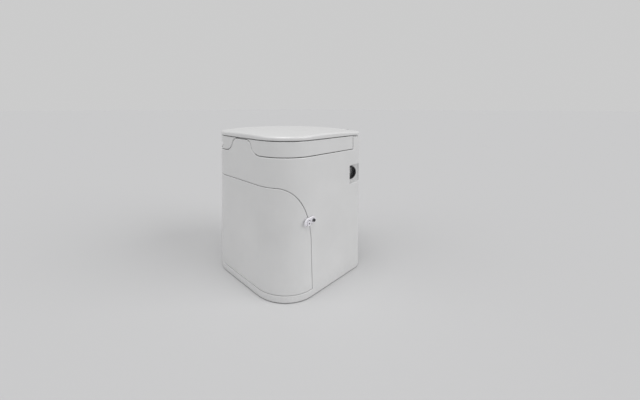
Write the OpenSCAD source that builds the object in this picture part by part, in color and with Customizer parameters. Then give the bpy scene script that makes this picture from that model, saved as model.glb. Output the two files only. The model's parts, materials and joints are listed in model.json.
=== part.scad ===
// Compact urine-diverting composting toilet.
// Free-standing moulded cabinet with a wrap-round front door, a hinged seat unit, a crowned lid,
// a lift-out solids bin and urine bottle, and a small exhaust fan behind the vent port.
// Millimetres. Z is up, the front faces -Y, and the origin is on the floor under the middle.

/* [Body] */
// Width of the body at the floor
base_w = 370; // [360:2:380]
// Depth of the body at the floor
base_d = 366; // [356:2:376]
// Radius of the two front corners at the floor
front_r = 104; // [98:1:108]
// Radius of the two rear corners at the floor
rear_r = 52; // [48:1:56]
// Draft of the moulded walls, in degrees
draft = 1.5; // [1.4:0.05:1.6]
// Thickness of the cabinet wall
wall = 4; // [3.5:0.5:4.5]
// Height of the rim that the seat unit sits on
rim_z = 388; // [386:1:390]
// Height of the top of the rear posts and of the front tab
post_z = 425.5; // [424:0.5:426]
// Where the rear posts start, measured from the middle
post_y = 112; // [108:1:116]

/* [Door] */
// Height of the door's bottom edge
door_bottom = 22; // [20:1:26]
// Height of the door's straight top edge
door_top = 310; // [306:1:314]
// Distance round the body at which the top edge starts to sweep down
sweep_start = 138; // [134:1:140]
// How far round the body the sweep runs
sweep_run = 103; // [101:1:104]
// How far down the sweep drops
sweep_drop = 176; // [170:1:180]
// Thickness of the door panel
door_t = 3.4; // [3:0.2:3.6]
// Gap round the door and under the seat skirt
seam = 1.6; // [1.2:0.1:2]
// Radius of the door's hinge barrels
barrel_r = 3.5; // [3.4:0.1:3.6]

/* [Front tab] */
// Half width of the level top of the tab
tab_half = 24; // [22:1:26]
// Radius of the tab's rounded shoulders
tab_r_top = 22; // [21:1:23]
// Radius of the tab's hollow flanks
tab_r_foot = 35; // [34:1:36]
// Steepest slope of the tab's flank, in degrees
tab_slope = 70; // [69:1:71]

/* [Seat unit] */
// Height of the top face of the seat deck
deck_z = 428.4; // [428:0.2:428.6]
// Thickness of the seat deck
deck_t = 3.9; // [3.5:0.1:4]
// Radius of the rear part of the seat opening
seat_r_rear = 100; // [96:1:102]
// Radius of the front part of the seat opening
seat_r_front = 74; // [72:1:76]
// Centre of the rear part of the opening
seat_y_rear = 12; // [10:1:14]
// Centre of the front part of the opening
seat_y_front = -74; // [-76:1:-72]

/* [Lid] */
// Height of the lid's underside
lid_z = 430.4; // [430.4:0.1:431]
// Height of the whole toilet
total_h = 450; // [449:0.5:451]
// How far the lid stands proud of the body
lid_over = 1; // [0.5:0.5:1.5]

/* [Top hinge] */
// Distance of the hinge pins from the middle, towards the rear
hinge_y = 166.2; // [166:0.1:166.4]
// Height of the hinge pins
hinge_z = 436.4; // [436.2:0.1:436.6]
// Radius of the hinge pins
hinge_pin_r = 3; // [2.8:0.1:3]
// Distance of each hinge from the middle
hinge_x = 100; // [96:1:104]

/* [Latch] */
// Distance of the keeper from the middle, towards the front
keeper_y = -91; // [-92:0.5:-90]
// Height of the keeper
keeper_z = 214.5; // [212:0.5:216]
// Radius of the keeper
keeper_r = 6.5; // [6:0.25:6.5]
// Distance from the keeper back to the hook's pivot
pivot_run = 16.8; // [16.5:0.1:17.5]
// Height of the hook's pivot above the keeper
pivot_rise = 5.2; // [4.5:0.1:5.5]

/* [Vent] */
// Height of the pocket's floor
pocket_z0 = 283; // [282:1:284]
// Height of the pocket's ceiling
pocket_z1 = 340; // [339:1:342]
// Where the pocket starts, measured from the middle
pocket_y = 96; // [95:1:98]
// Distance of the pocket's deepest edge from the middle
pocket_x = 147; // [146:1:149]
// Turn of the pocket's back wall towards the front, in degrees
pocket_turn = 20; // [18:1:21]
// Radius of the vent bore
vent_r = 18.4; // [18:0.1:18.6]

/* [Solids bin] */
// Width of the bin at its foot
bin_w = 186; // [182:2:188]
// Depth of the bin at its foot
bin_d = 168; // [164:2:170]
// Height of the bin's rim
bin_top = 272; // [266:1:274]
// Middle of the bin, towards the rear
bin_y = 51; // [50:1:52]

/* [Urine bottle] */
// Width of the bottle
bottle_w = 232; // [226:2:234]
// Depth of the bottle
bottle_d = 104; // [100:2:106]
// Height of the bottle's shoulder
bottle_top = 230; // [224:1:232]
// Middle of the bottle, towards the front
bottle_y = -104; // [-105:1:-103]
// Distance of the neck and the drain spout from the middle, towards the front
neck_y = -90; // [-91:1:-89]

/* [Hidden] */
$fn = 64;
slope = tan(draft);
fine = 96;
foot_h = 2.5;
corner_x = base_w / 2 - front_r;
corner_y = -base_d / 2 + front_r;
rear_x = base_w / 2 - rear_r;
rear_y = base_d / 2 - rear_r;
reach = 400;

// floor pan and feet
pan_z = 6;
pan_t = 3;
rib_t = 3;
rib_h = 12;
flange_in = 18;
foot_r = 12;
foot_x = 132;
foot_y = 126;
pan_screws_at = [[-172, 20], [172, 20], [-100, 171.5], [100, 171.5], [-60, -171.5], [60, -171.5]];

// door frame
lip_t = 3.4;
lip_in = 8;
lip_out = 12;
rib_depth = 4;

// door hinge on the left side
barrel_x = -base_w / 2;
barrel_y = corner_y + 3.1;
barrel_gap = 0.5;
knuckle_len = 13;
lug_run = 10;
door_pin_r = 1.6;
door_hinges = [46, 108];

// top hinges, widths across one hinge measured outwards from its middle
ear_t = 7;
knuckle_w = 9;
knuckle_gap = 0.5;
knuckle_r = 6;
bracket_t = 3.5;
bracket_low = 395;
bracket_y = hinge_y + 1.6;
hinge_half = knuckle_gap + knuckle_w + knuckle_gap + ear_t;
hinge_play = 0.08;

// latch
hook_t = 4;
hook_x = 181;
hook_in_r = 8.6;
hook_out_r = 14.4;
hook_tip = 204;
eye_r = 9.6;
standoff_r = 6;
pivot_r = 2.2;
latch_face = base_w / 2 + 3.5;

// vent pocket, collar and fan
pocket_wall = 3.5;
vent_y = pocket_y + 29;
vent_x = pocket_x + 29 * tan(pocket_turn);
vent_z = (pocket_z0 + pocket_z1) / 2;
collar_r = 19.9;
collar_rim_r = 21.5;
collar_rim = 1;
collar_in = 6;
fan_side = 50;
fan_t = 15;
fan_bore = 23;
fan_hub = 9.5;
fan_shaft = 1.5;

// power inlet in the rear wall
inlet_x = 70;
inlet_z = 300;
inlet_r = 5.5;

// seat unit
buffer_spots = [[-163, -60], [163, -60], [-163, 84], [163, 84]];
diverter_screws_at = [[-72, 92], [72, 92], [-76, -100], [76, -100]];
seat_under = deck_z - deck_t;
skirt_z = rim_z + seam / 2;
deck_back = 159.5;
diverter_t = 2.6;
flange_t = 3.2;
chute_z = 300;
divider_z = 378;
divider_y = -30;
spout_z = 272;
spout_r = 9;
basin_r = 60;
basin_z = 336;
scoop_r = 10.5;
scoop_turn = 26;
scoop_z = 402;

// lid
liner_screws_at = [[-120, 120], [120, 120], [-110, -110], [110, -110]];
crown_r = 2300;
crown_turn = 6.6;
liner_back = 150;

// containers
bin_wall = 3;
bin_slope = -0.03;
bin_foot = 9.5;
bin_r = 38;
ear_z = 258;
bail_r = 2.5;
bail_x = 110.5;
bail_y = 52;
bail_len = 104;
bottle_wall = 2.4;
bottle_r = 32;
neck_r = 20;
neck_z = 262;

paint = [0.86, 0.86, 0.86];
paint_inner = [0.80, 0.80, 0.80];
latch_white = [0.93, 0.92, 0.95];
dark = [0.16, 0.16, 0.17];
steel = [0.72, 0.73, 0.75];
rubber = [0.22, 0.22, 0.23];
bin_grey = [0.35, 0.37, 0.39];
bottle_tint = [0.90, 0.90, 0.84];

// ---- shapes shared by the moulded shells ----

// Distance at a height, in whole thousandths, so that flat and round walls meet exactly
function drawn_in(r, k, z, inset) = round(1000 * (r - k * z - inset)) / 1000;

// Block with drafted sides and round corners, from height z0 to z1, drawn in by inset
module drafted(w, d, rf, rr, k, z0, z1, inset = 0) {
    x0 = drawn_in(w / 2, k, z0, inset);
    x1 = drawn_in(w / 2, k, z1, inset);
    y0 = drawn_in(d / 2, k, z0, inset);
    y1 = drawn_in(d / 2, k, z1, inset);
    fx = w / 2 - rf;
    fy = -d / 2 + rf;
    rx = w / 2 - rr;
    ry = d / 2 - rr;
    translate([0, ry, 0]) rotate([90, 0, 0]) linear_extrude(ry - fy)
        polygon([[-x0, z0], [x0, z0], [x1, z1], [-x1, z1]]);
    translate([-fx, 0, 0]) rotate([90, 0, 90]) linear_extrude(2 * fx)
        polygon([[-y0, z0], [0, z0], [0, z1], [-y1, z1]]);
    translate([-rx, 0, 0]) rotate([90, 0, 90]) linear_extrude(2 * rx)
        polygon([[0, z0], [y0, z0], [y1, z1], [0, z1]]);
    for (side = [-1, 1]) {
        corner(side * fx, fy, side > 0 ? -90 : 180)
            polygon([[0, z0], [drawn_in(rf, k, z0, inset), z0], [drawn_in(rf, k, z1, inset), z1], [0, z1]]);
        corner(side * rx, ry, side > 0 ? 0 : 90)
            polygon([[0, z0], [drawn_in(rr, k, z0, inset), z0], [drawn_in(rr, k, z1, inset), z1], [0, z1]]);
    }
}

module corner(x, y, turn) {
    translate([x, y, 0]) rotate([0, 0, turn]) rotate_extrude(angle = 90, $fn = fine) children();
}

// Wall of that block, between two depths
module drafted_wall(w, d, rf, rr, k, z0, z1, from, to) {
    fx = w / 2 - rf;
    fy = -d / 2 + rf;
    rx = w / 2 - rr;
    ry = d / 2 - rr;
    for (side = [-1, 1]) {
        translate([0, ry, 0]) rotate([90, 0, 0]) linear_extrude(ry - fy)
            wall_section(w / 2, side, k, z0, z1, from, to);
        corner(side * fx, fy, side > 0 ? -90 : 180) wall_section(rf, 1, k, z0, z1, from, to);
        corner(side * rx, ry, side > 0 ? 0 : 90) wall_section(rr, 1, k, z0, z1, from, to);
    }
    translate([-fx, 0, 0]) rotate([90, 0, 90]) linear_extrude(2 * fx)
        wall_section(d / 2, -1, k, z0, z1, from, to);
    translate([-rx, 0, 0]) rotate([90, 0, 90]) linear_extrude(2 * rx)
        wall_section(d / 2, 1, k, z0, z1, from, to);
}

module wall_section(r, side, k, z0, z1, from, to) {
    polygon([[side * drawn_in(r, k, z0, from), z0], [side * drawn_in(r, k, z0, to), z0],
        [side * drawn_in(r, k, z1, to), z1], [side * drawn_in(r, k, z1, from), z1]]);
}

// The toilet's outer form between two heights
module body_block(z0, z1, inset = 0) {
    drafted(base_w, base_d, front_r, rear_r, slope, z0, z1, inset);
}

// A skin of that form, between two depths
module skin(z0, z1, from, to) {
    drafted_wall(base_w, base_d, front_r, rear_r, slope, z0, z1, from, to);
}

// Radius of the front corners at a height, and the distance of the back there
function corner_r_at(z) = front_r - slope * z;
function back_at(z) = base_d / 2 - slope * z;

// Depth coordinate of the point that lies run round the body from the middle of the front
function y_round(run, z) =
    let (r = corner_r_at(z), turn = (run - corner_x) / r * 180 / PI)
    turn < 90 ? corner_y - r * cos(turn) : corner_y + (run - corner_x - r * PI / 2);

// Side view of the door, grown by g on every edge
function sweep(g, n = 28) = [for (i = [0 : n])
    let (t = 90 * i / n, z = door_top + g - (sweep_drop + g) * (1 - cos(t)))
    [y_round(sweep_start + (sweep_run + g) * sin(t), z), z]];

// Everything that the door's outline covers, seen from the side; below the sweep its edge leans
// with the draft
module door_prism(g) {
    edge = sweep(g);
    last = edge[len(edge) - 1];
    low = door_bottom - g;
    translate([-reach / 2, 0, 0]) rotate([90, 0, 90]) linear_extrude(reach)
        polygon(concat([[-reach, door_top + g]], edge,
            [[last[0] + slope * (last[1] - low), low], [-reach, low]]));
}

// Front view of the tab, grown by g
function tab_side(g, n = 10) = concat(
    [for (i = [0 : n]) let (a = tab_slope * i / n)
        [tab_half + (tab_r_top + g) * sin(a), post_z - tab_r_top + (tab_r_top + g) * cos(a)]],
    [for (i = [1 : n]) let (a = tab_slope * (1 - i / n), foot = tab_r_top + tab_r_foot)
        [tab_half + foot * sin(tab_slope) - (tab_r_foot - g) * sin(a),
         post_z - tab_r_top + foot * cos(tab_slope) - (tab_r_foot - g) * cos(a)]]);

module tab_prism(g, low) {
    side = tab_side(g);
    last = side[len(side) - 1][0];
    mirrored = [for (i = [len(side) - 1 : -1 : 0]) [-side[i][0], side[i][1]]];
    translate([0, -100, 0]) rotate([90, 0, 0]) linear_extrude(reach / 2)
        polygon(concat(side, [[last, low], [-last, low]], mirrored));
}

// Egg-shaped outline of the seat opening, grown by g
module egg(g) {
    ra = seat_r_rear + g;
    rb = seat_r_front + g;
    gap = seat_y_rear - seat_y_front;
    lean = asin((ra - rb) / gap);
    translate([0, seat_y_rear]) circle(ra, $fn = fine);
    translate([0, seat_y_front]) circle(rb, $fn = fine);
    polygon([[ra * cos(lean), seat_y_rear - ra * sin(lean)], [rb * cos(lean), seat_y_front - rb * sin(lean)],
        [-rb * cos(lean), seat_y_front - rb * sin(lean)], [-ra * cos(lean), seat_y_rear - ra * sin(lean)]]);
}

// Plan of the vent pocket, grown by g
module pocket_plan(g) {
    far = base_d / 2 + 2 - pocket_y;
    edge = pocket_x - g / cos(pocket_turn);
    polygon([[edge - g * tan(pocket_turn), pocket_y - g], [base_w, pocket_y - g],
        [base_w, pocket_y + far], [edge + far * tan(pocket_turn), pocket_y + far]]);
}

// Puts its children at the vent, with +Z out of the port
module at_vent() {
    translate([vent_x, vent_y, vent_z]) rotate([0, 0, -pocket_turn]) rotate([0, 90, 0]) children();
}

// Bar across a hinge, from u0 to u1 outwards from the hinge's middle
module across(side, u0, u1) {
    translate([side * hinge_x, 0, 0]) mirror([side < 0 ? 1 : 0, 0, 0]) translate([u0, 0, 0])
        rotate([90, 0, 90]) linear_extrude(u1 - u0) children();
}

module hinge_disc(r) {
    translate([hinge_y, hinge_z]) circle(r);
}

module along_x(x, y, z, len, r) {
    translate([x, y, z]) rotate([0, 90, 0]) cylinder(h = len, r = r);
}

module along_y(x, y, z, len, r) {
    translate([x, y, z]) rotate([-90, 0, 0]) cylinder(h = len, r = r);
}

// ---- cabinet ----

// Outer cabinet: drafted wall with the front tab, the rear posts and the door's hinge barrels
module housing_shell() {
    color(paint) difference() {
        union() {
            cabinet_wall();
            for (z = door_hinges) housing_barrels(z);
        }
        pocket_space();
        for (z = door_hinges) {
            translate([barrel_x, barrel_y, z - knuckle_len / 2 - barrel_gap])
                cylinder(h = knuckle_len + 2 * barrel_gap, r = barrel_r + barrel_gap);
            translate([barrel_x, barrel_y, z - 40]) cylinder(h = 80, r = door_pin_r + 0.02);
        }
        along_x(base_w / 2 - 10, keeper_y + pivot_run, keeper_z + pivot_rise, 20, 1.7);
        for (side = [-1, 1], z = [402, 416])
            along_y(side * hinge_x, back_at(410) - 6, z, 4.6, 1.7);
        along_y(inlet_x, back_at(vent_z) - 8, inlet_z, 20, inlet_r + 0.15);
    }
}

module cabinet_wall() {
    difference() {
        union() {
            skin(foot_h, rim_z - seam / 2, 0, wall);
            intersection() {
                skin(rim_z - seam / 2 - 1, post_z, 0, wall);
                union() {
                    translate([-reach / 2, post_y + seam / 2, 0]) cube([reach, reach / 2, reach * 2]);
                    tab_prism(0, rim_z - 4);
                }
            }
        }
        door_prism(seam / 2);
    }
}

module pocket_space() {
    translate([0, 0, pocket_z0]) linear_extrude(pocket_z1 - pocket_z0) pocket_plan(0);
}

// Flange bonded inside the rim, which the seat unit's buffers rest on
module rim_frame() {
    color(paint) difference() {
        skin(rim_z - 5, rim_z - seam / 2, wall, flange_in);
        translate([-reach / 2, post_y - 2, 0]) cube([reach, reach, reach * 2]);
    }
}

// Frame bonded behind the edge of the door opening, which the door closes against
module door_frame() {
    color(paint) difference() {
        intersection() {
            skin(foot_h + 1, door_top + 30, wall, wall + lip_t);
            door_prism(lip_out);
        }
        door_prism(-lip_in);
    }
}

// Flange bonded inside the foot of the wall, which the floor pan is screwed to
module foot_frame() {
    color(paint) difference() {
        skin(foot_h, pan_z, wall, flange_in);
        for (p = pan_screws_at) translate([p[0], p[1], 3.5]) cylinder(h = 5, r = 1.7);
    }
}

// Moulded box behind the notch in the right side, with the seat for the vent collar
module vent_box() {
    color(paint) difference() {
        intersection() {
            body_block(pocket_z0 - pocket_wall, pocket_z1 + pocket_wall, wall);
            translate([0, 0, pocket_z0 - pocket_wall])
                linear_extrude(pocket_z1 - pocket_z0 + 2 * pocket_wall) pocket_plan(pocket_wall);
        }
        pocket_space();
        at_vent() translate([0, 0, -20]) cylinder(h = 30, r = collar_r + 0.15);
        at_vent() for (a = [-1, 1], b = [-1, 1])
            translate([a * 20.5, b * 20.5, -pocket_wall - 1]) cylinder(h = pocket_wall, r = 1.5);
    }
}

module housing_barrels(z) {
    far = knuckle_len / 2 + barrel_gap;
    for (low = [z - far - 9, z + far]) {
        translate([barrel_x, barrel_y, low]) cylinder(h = 9, r = barrel_r);
        difference() {
            translate([barrel_x - 1.5, barrel_y, low]) cube([slope * z + 4, lug_run, 9]);
            intersection() {
                door_prism(seam / 2);
                body_block(0, 200);
            }
        }
    }
}

module door_barrel(z) {
    translate([barrel_x, barrel_y, z - knuckle_len / 2]) cylinder(h = knuckle_len, r = barrel_r);
    difference() {
        translate([barrel_x - 1.5, barrel_y - lug_run, z - knuckle_len / 2])
            cube([slope * z + 4, lug_run, knuckle_len]);
        difference() {
            body_block(0, 200);
            door_prism(-seam / 2);
        }
    }
}

// Floor pan that drops on the cabinet's bottom flange, with ribs that locate the bin and bottle
module floor_pan() {
    color(paint_inner) difference() {
        union() {
            body_block(pan_z + 0.1, pan_z + pan_t, wall + lip_t + 0.6);
            translate([-105, bottle_y + bottle_d / 2 + 2, pan_z + 1]) cube([210, rib_t, rib_h]);
            for (side = [-1, 1])
                translate([side * (bin_w / 2 + 9) - rib_t / 2, -10, pan_z + 1]) cube([rib_t, 120, rib_h]);
            translate([-70, bin_y + bin_d / 2 + 9, pan_z + 1]) cube([140, rib_t, rib_h]);
        }
        for (p = pan_screws_at) translate([p[0], p[1], 0]) cylinder(h = 20, r = 2.2);
        for (x = [-foot_x, foot_x], y = [-foot_y, foot_y])
            translate([x, y, 0]) cylinder(h = 20, r = 4.3);
    }
}

module pan_screws() {
    color(steel) for (p = pan_screws_at) translate([p[0], p[1], 0]) {
        translate([0, 0, 4]) cylinder(h = 6, r = 1.6);
        translate([0, 0, pan_z + pan_t + 0.05]) cylinder(h = 2.4, r = 3.6);
    }
}

// Soft feet pushed through the pan
module rubber_feet() {
    color(rubber) for (x = [-foot_x, foot_x], y = [-foot_y, foot_y]) translate([x, y, 0]) {
        cylinder(h = pan_z, r = foot_r);
        cylinder(h = pan_z + pan_t + 3, r = 4);
        translate([0, 0, pan_z + pan_t + 0.2]) cylinder(h = 3, r1 = 6, r2 = 3);
    }
}

// ---- top hinges ----

module hinge_brackets() {
    color(steel) for (side = [-1, 1]) difference() {
        union() {
            across(side, -hinge_half, hinge_half) translate([bracket_y - bracket_t, bracket_low])
                square([bracket_t, seat_under - 1 - bracket_low]);
            for (u = [-hinge_half, hinge_half - ear_t]) across(side, u, u + ear_t) {
                hinge_disc(knuckle_r);
                translate([bracket_y - 7, post_z - 10]) square([7, hinge_z - post_z + 10]);
            }
        }
        across(side, -hinge_half - 1, hinge_half + 1) hinge_disc(hinge_pin_r + 0.05);
        for (z = [402, 416]) along_y(side * hinge_x, hinge_y - 10, z, 20, 1.7);
    }
}

module bracket_screws() {
    color(steel) for (side = [-1, 1], z = [402, 416]) {
        along_y(side * hinge_x, bracket_y - bracket_t - 1, z, 7.2, 1.6);
        along_y(side * hinge_x, bracket_y - bracket_t - 2.05, z, 2, 3.4);
    }
}

module hinge_pins() {
    color(steel) for (side = [-1, 1]) {
        across(side, -hinge_half - 1, hinge_half + 0.2) hinge_disc(hinge_pin_r);
        across(side, hinge_half + 0.2, hinge_half + 1.8) hinge_disc(4.5);
    }
}

module knuckle(side, u, front, low) {
    across(side, u, u + knuckle_w) {
        hinge_disc(knuckle_r);
        translate([hinge_y - front, low]) square([front, hinge_z - low]);
    }
}

module hinge_bore(side) {
    across(side, -hinge_half - 2, hinge_half + 2) hinge_disc(hinge_pin_r + hinge_play);
}

// ---- front door and latch ----

module front_door() {
    color(paint) difference() {
        union() {
            intersection() {
                skin(door_bottom - 5, door_top + 5, 0, door_t);
                door_prism(-seam / 2);
            }
            // stiffening ribs inside
            intersection() {
                union() for (z = [70, 150, 230]) skin(z, z + 3, door_t - 0.2, door_t + rib_depth);
                door_prism(-lip_in - 6);
            }
            for (z = door_hinges) door_barrel(z);
        }
        for (z = door_hinges) {
            far = knuckle_len / 2;
            for (low = [z - far - 9 - barrel_gap * 2, z + far])
                translate([barrel_x, barrel_y, low])
                    cylinder(h = 9 + 2 * barrel_gap, r = barrel_r + barrel_gap);
            translate([barrel_x, barrel_y, z - 40]) cylinder(h = 80, r = door_pin_r + hinge_play);
        }
        along_x(base_w / 2 - 14, keeper_y, keeper_z, 20, 1.7);
    }
}

module door_hinge_pins() {
    color(steel) for (z = door_hinges)
        translate([barrel_x, barrel_y, z - knuckle_len / 2 - 10])
            cylinder(h = knuckle_len + 20, r = door_pin_r);
}

// Round keeper on the door that the hook closes over
module latch_keeper() {
    color(latch_white) difference() {
        along_x(base_w / 2 - 12, keeper_y, keeper_z, 13.5, keeper_r);
        body_block(150, 260, -0.05);
        along_x(base_w / 2 - 14, keeper_y, keeper_z, 30, 1.7);
        along_x(base_w / 2 - 2.5, keeper_y, keeper_z, 10, 2.7);
    }
}

module keeper_screw() {
    color(steel) {
        along_x(base_w / 2 - 9, keeper_y, keeper_z, 7, 1.55);
        along_x(base_w / 2 - 2.45, keeper_y, keeper_z, 1.2, 2.5);
    }
}

module latch_standoff() {
    y = keeper_y + pivot_run;
    z = keeper_z + pivot_rise;
    color(latch_white) difference() {
        along_x(base_w / 2 - 12, y, z, hook_x - base_w / 2 + 11.7, standoff_r);
        body_block(150, 260, -0.05);
        along_x(base_w / 2 - 14, y, z, 30, pivot_r + 0.1);
    }
}

module latch_pivot_screw() {
    y = keeper_y + pivot_run;
    z = keeper_z + pivot_rise;
    color(steel) {
        along_x(base_w / 2 - 9.5, y, z, 6, 1.6);
        along_x(base_w / 2 - 5.6, y, z, hook_x + hook_t - base_w / 2 + 5.9, pivot_r);
        difference() {
            along_x(hook_x + hook_t + 0.3, y, z, latch_face - hook_x - hook_t - 0.3, 4.4);
            translate([latch_face - 1.6, y, z]) rotate([0, 90, 0]) cylinder(h = 3, r = 2.4, $fn = 6);
        }
    }
}

// Crescent hook that swings up off the keeper
module latch_hook() {
    color(latch_white) translate([hook_x, keeper_y, keeper_z]) rotate([90, 0, 90]) difference() {
        union() {
            difference() {
                cylinder(h = hook_t, r = hook_out_r);
                translate([0, 0, -1]) linear_extrude(hook_t + 2)
                    polygon([[0, 0], [60, 25], [60, -60], [-60, -60], [-60, -60 * tan(hook_tip - 180)]]);
            }
            translate([pivot_run, pivot_rise, 0]) cylinder(h = hook_t, r = eye_r);
            linear_extrude(hook_t) polygon([[-2, hook_out_r - 0.5], [pivot_run, pivot_rise + eye_r - 0.1],
                [pivot_run - 0.5, pivot_rise - eye_r + 0.1], [6, 1], [3, 8]]);
        }
        translate([0, 0, -1]) cylinder(h = hook_t + 2, r = hook_in_r);
        translate([pivot_run, pivot_rise, -1]) cylinder(h = hook_t + 2, r = pivot_r + hinge_play);
    }
}

// ---- vent ----

module vent_collar() {
    color(dark) at_vent() difference() {
        union() {
            translate([0, 0, 0.1]) cylinder(h = collar_rim, r = collar_rim_r);
            translate([0, 0, -pocket_wall - collar_in])
                cylinder(h = pocket_wall + collar_in + 0.5, r = collar_r);
        }
        translate([0, 0, -30]) cylinder(h = 60, r = vent_r);
    }
}

// Perforated disc that keeps flies out
module insect_screen() {
    back = pocket_wall + collar_in;
    color(steel) at_vent() translate([0, 0, -back - 0.7]) difference() {
        cylinder(h = 0.6, r = collar_r);
        for (ring = [0 : 3], i = [0 : max(0, ring * 6 - 1)])
            rotate([0, 0, ring > 0 ? i * 60 / ring : 0]) translate([ring * 4.8, 0, -1])
                cylinder(h = 3, r = 1.8, $fn = 16);
    }
}

module fan_frame() {
    back = pocket_wall + collar_in + 0.9;
    color(dark) at_vent() translate([0, 0, -back - fan_t]) difference() {
        union() {
            difference() {
                translate([-fan_side / 2, -fan_side / 2, 0]) cube([fan_side, fan_side, fan_t]);
                translate([0, 0, -1]) cylinder(h = fan_t + 2, r = fan_bore);
            }
            cylinder(h = 2, r = fan_hub);
            for (a = [45 : 90 : 315]) rotate([0, 0, a]) translate([0, -1.5, 0]) cube([fan_bore + 1, 3, 2]);
            cylinder(h = 6, r = 3);
        }
        translate([0, 0, -1]) cylinder(h = fan_t, r = fan_shaft + 0.05);
        for (a = [-1, 1], b = [-1, 1])
            translate([a * 20.5, b * 20.5, -1]) cylinder(h = fan_t + 2, r = 1.7);
    }
}

module fan_screws() {
    back = pocket_wall + collar_in + 0.9;
    color(steel) at_vent() for (a = [-1, 1], b = [-1, 1]) translate([a * 20.5, b * 20.5, 0]) {
        translate([0, 0, -back - fan_t - 0.1]) cylinder(h = back + fan_t - 1.2, r = 1.4);
        translate([0, 0, -back - fan_t - 2.1]) cylinder(h = 2, r = 2.8);
        difference() {
            translate([0, 0, -back + 0.1]) cylinder(h = collar_in + 0.7, r = 3);
            translate([0, 0, -back - 1]) cylinder(h = 20, r = 1.4);
        }
    }
}

module fan_impeller() {
    back = pocket_wall + collar_in + 0.9;
    color(dark) at_vent() translate([0, 0, -back - fan_t]) {
        difference() {
            translate([0, 0, 3]) cylinder(h = 10.5, r = fan_hub);
            translate([0, 0, 2]) cylinder(h = 8, r = fan_hub - 1.8);
        }
        translate([0, 0, 0.5]) cylinder(h = 11, r = fan_shaft);
        for (a = [0 : 360 / 7 : 359]) rotate([0, 0, a]) translate([fan_hub - 1, 0, 8.2]) rotate([38, 0, 0])
            translate([0, -5, -0.6]) cube([12.6, 10, 1.2]);
    }
}

// Low-voltage socket for the fan, in the rear wall
module power_inlet() {
    back = back_at(inlet_z);
    color(dark) difference() {
        union() {
            along_y(inlet_x, back - 14, inlet_z, 15.5, inlet_r);
            along_y(inlet_x, back + 0.35, inlet_z, 1.6, 8);
        }
        along_y(inlet_x, back - 9, inlet_z, 20, 2.9);
    }
}

module inlet_nut() {
    color(steel) difference() {
        along_y_hex(inlet_x, back_at(inlet_z) - wall - 3.6, inlet_z, 3, 8);
        along_y(inlet_x, back_at(inlet_z) - 30, inlet_z, 60, inlet_r + 0.1);
    }
}

module along_y_hex(x, y, z, len, r) {
    translate([x, y, z]) rotate([-90, 0, 0]) cylinder(h = len, r = r, $fn = 6);
}

// ---- seat unit ----

module seat_buffers() {
    color(rubber) for (p = buffer_spots)
        translate([p[0], p[1], rim_z - seam / 2 + 0.05]) cylinder(h = 3, r = 5);
}

// Deck with the seat opening, the skirt round the front and sides, and the hinge knuckles
module seat_shell() {
    scoop_run = corner_r_at(scoop_z) + 4;
    scoop = [-corner_x - scoop_run * sin(scoop_turn), corner_y - scoop_run * cos(scoop_turn), scoop_z];
    color(paint) difference() {
        union() {
            intersection() {
                union() {
                    skin(skirt_z, deck_z, 0, wall);
                    body_block(seat_under, deck_z);
                    intersection() {
                        body_block(skirt_z + 1, deck_z, 0.5);
                        translate(scoop) sphere(scoop_r + 3);
                    }
                }
                translate([-reach / 2, -reach, 0]) cube([reach, reach + post_y - seam / 2, reach * 2]);
            }
            intersection() {
                body_block(seat_under, deck_z, wall + 1.2);
                translate([-reach / 2, 0, 0]) cube([reach, deck_back, reach * 2]);
            }
            for (side = [-1, 1]) knuckle(side, knuckle_gap, 8, seat_under);
            for (p = buffer_spots)
                translate([p[0], p[1], rim_z - seam / 2 + 3.3]) cylinder(h = seat_under - rim_z - 2, r = 5);
        }
        // room for the cabinet's front tab, and for the fingers over it
        difference() {
            union() {
                tab_prism(seam, 0);
                translate([-tab_half - 4, -reach, post_z - 2]) cube([2 * tab_half + 8, reach, 20]);
            }
            body_block(0, reach * 2, wall + 4);
        }
        translate([0, 0, seat_under - 1]) linear_extrude(deck_t + 2) egg(0);
        for (side = [-1, 1]) hinge_bore(side);
        translate(scoop) sphere(scoop_r);
        for (p = diverter_screws_at) translate([p[0], p[1], 400]) cylinder(h = deck_z - 401, r = 1.7);
    }
}

// Moulded bowl: urine basin with a drain spout in front, open chute for solids behind
module urine_diverter() {
    top = seat_under - 0.3;
    t = diverter_t;
    color(paint) difference() {
        union() {
            translate([0, 0, top - flange_t]) linear_extrude(flange_t) egg(12);
            intersection() {
                translate([0, 0, divider_z]) linear_extrude(top - divider_z) egg(0);
                translate([-reach / 2, -reach / 2, 0]) cube([reach, reach, top - 1]);
            }
            translate([0, seat_y_rear, chute_z])
                cylinder(h = top - chute_z - 1, r1 = seat_r_rear - 12, r2 = seat_r_rear, $fn = fine);
            translate([0, neck_y, basin_z])
                cylinder(h = divider_z - basin_z + 2, r1 = 12, r2 = basin_r, $fn = fine);
            translate([0, neck_y, spout_z]) cylinder(h = basin_z - spout_z + 8, r = spout_r);
        }
        translate([0, 0, divider_z + t]) linear_extrude(60) egg(-t);
        difference() {
            translate([0, seat_y_rear, chute_z - 0.01])
                cylinder(h = 140, r1 = seat_r_rear - 12 - t, r2 = seat_r_rear - t + 1.5, $fn = fine);
            translate([-reach / 2, -reach, 0]) cube([reach, reach + divider_y, reach * 2]);
        }
        difference() {
            translate([0, neck_y, basin_z + t])
                cylinder(h = divider_z - basin_z + 2, r1 = 12 - t, r2 = basin_r, $fn = fine);
            translate([-reach / 2, divider_y - t, 0]) cube([reach, reach, reach * 2]);
        }
        translate([0, neck_y, spout_z - 1]) cylinder(h = 90, r = spout_r - 2);
        for (p = diverter_screws_at) translate([p[0], p[1], 400]) cylinder(h = 40, r = 2.2);
    }
}

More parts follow.
